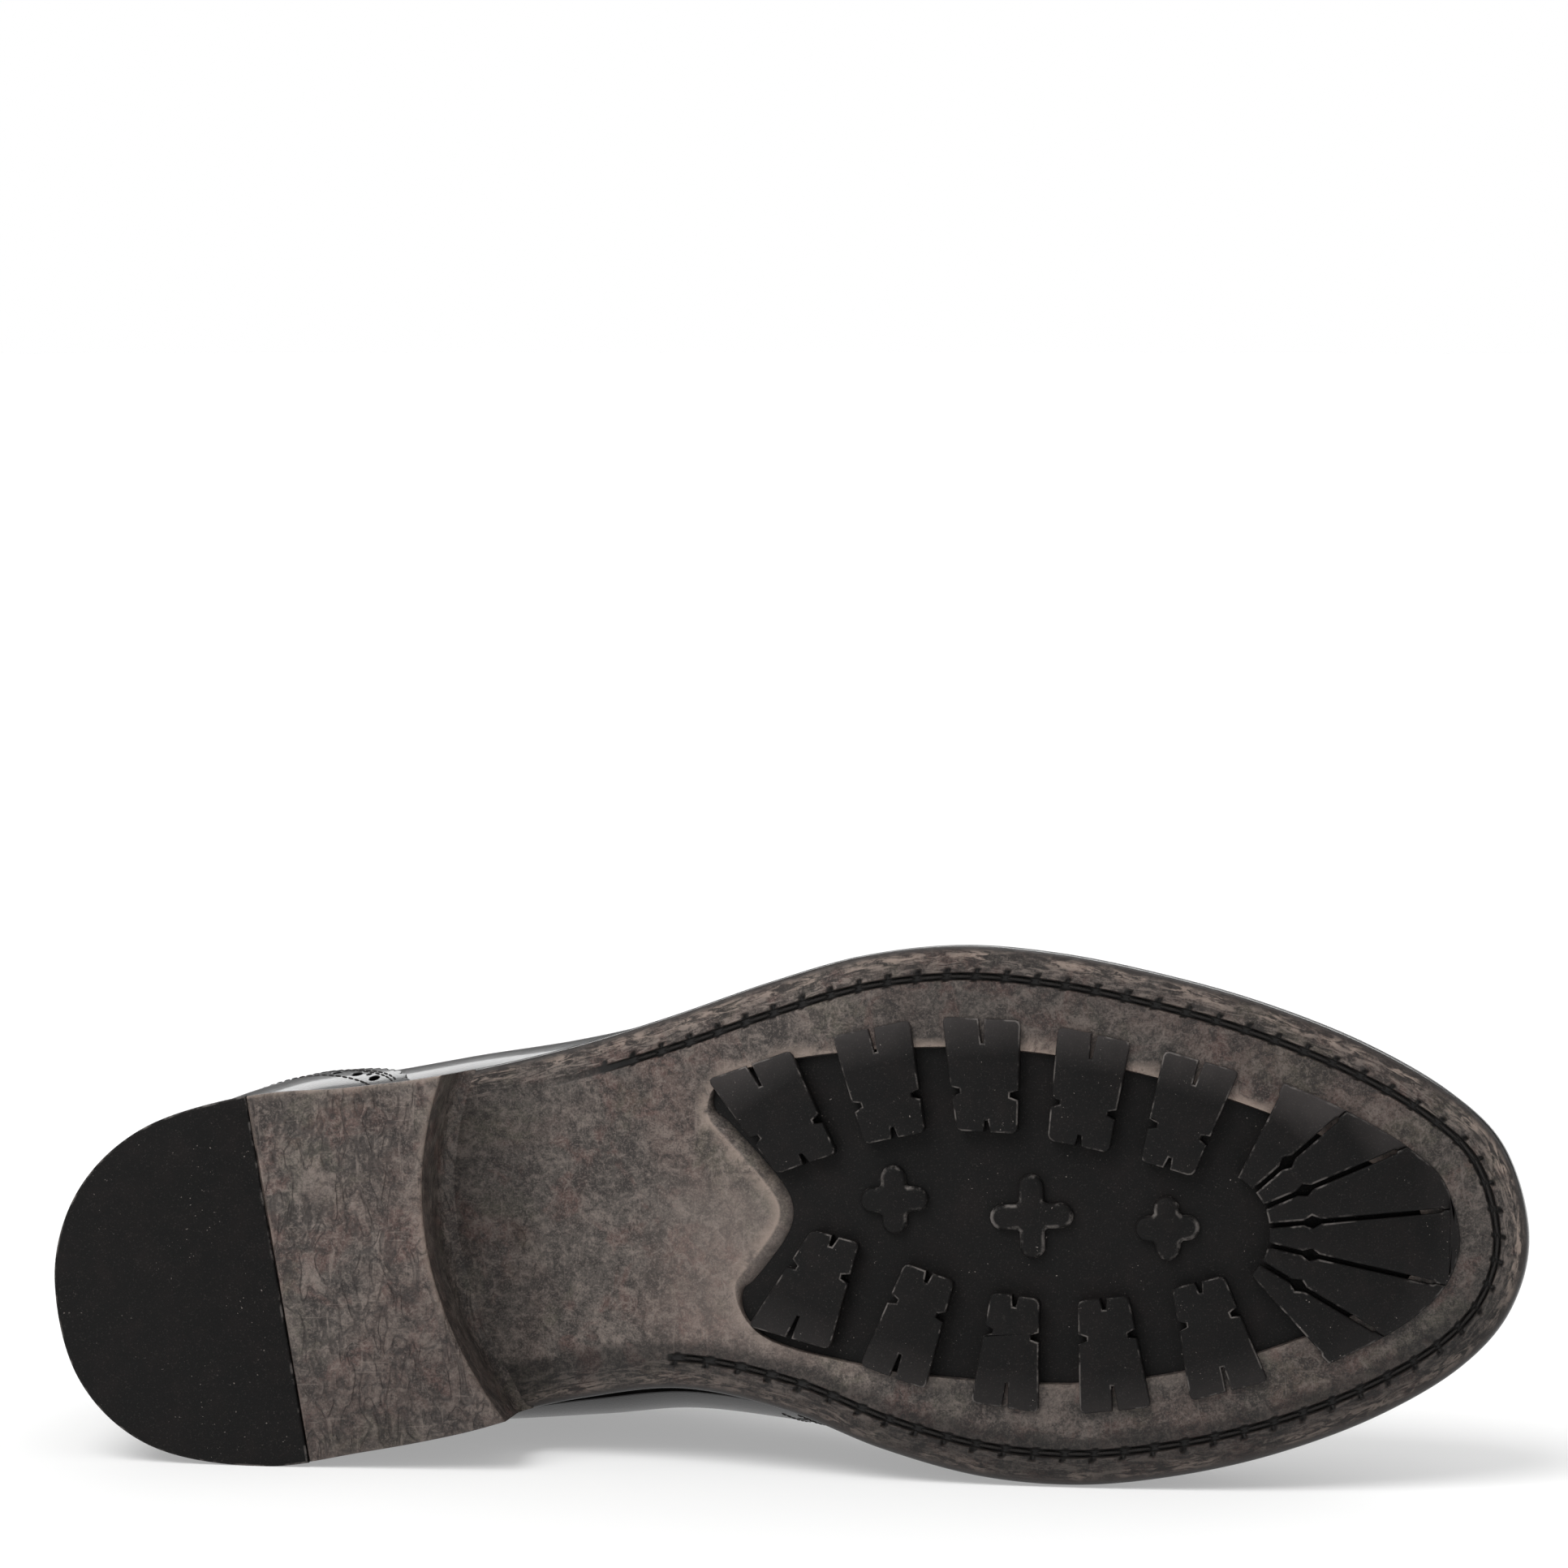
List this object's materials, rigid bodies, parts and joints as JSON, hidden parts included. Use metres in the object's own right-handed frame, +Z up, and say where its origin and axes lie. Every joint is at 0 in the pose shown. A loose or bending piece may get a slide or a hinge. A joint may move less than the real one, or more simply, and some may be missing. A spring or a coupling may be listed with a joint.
{
  "type": "brogue derby shoe",
  "caption": "Right-foot brogue derby in black leather with a burnished welted sole, rubber lug inlay and rubber-tipped heel, lying on its medial side.",
  "frame": {"origin": "middle of the shoe's box, on the floor that the shoe lies on", "axes": "+X from heel to toe, -Y the way the sole faces, +Z up towards the lateral side"},
  "size_m": [0.3012, 0.1086, 0.1084],
  "materials": {
    "burnished_sole": "brown-grey, burnished and scuffed, matte to satin",
    "black_rubber": "matte black, moulded",
    "dark_welt": "edge-dyed and waxed",
    "tan_lining": "natural tan, matte",
    "black_leather": "polished black box calf",
    "black_cotton": "waxed round cord",
    "black_metal": "black enamel"
  },
  "bodies": {
    "root": {"outsole": "burnished_sole", "tread": "black_rubber", "heel_block": "burnished_sole", "heel_top_piece": "black_rubber", "welt": "dark_welt", "insole": "tan_lining", "upper": "black_leather", "quarter_lateral": "black_leather", "quarter_medial": "black_leather", "wing_cap": "black_leather", "heel_counter": "black_leather", "tongue": "black_leather", "lace": "black_cotton", "eyelet_lateral_1": "black_metal", "eyelet_lateral_2": "black_metal", "eyelet_lateral_3": "black_metal", "eyelet_lateral_4": "black_metal", "eyelet_lateral_5": "black_metal", "eyelet_medial_1": "black_metal", "eyelet_medial_2": "black_metal", "eyelet_medial_3": "black_metal", "eyelet_medial_4": "black_metal", "eyelet_medial_5": "black_metal"}
  },
  "joints": []
}
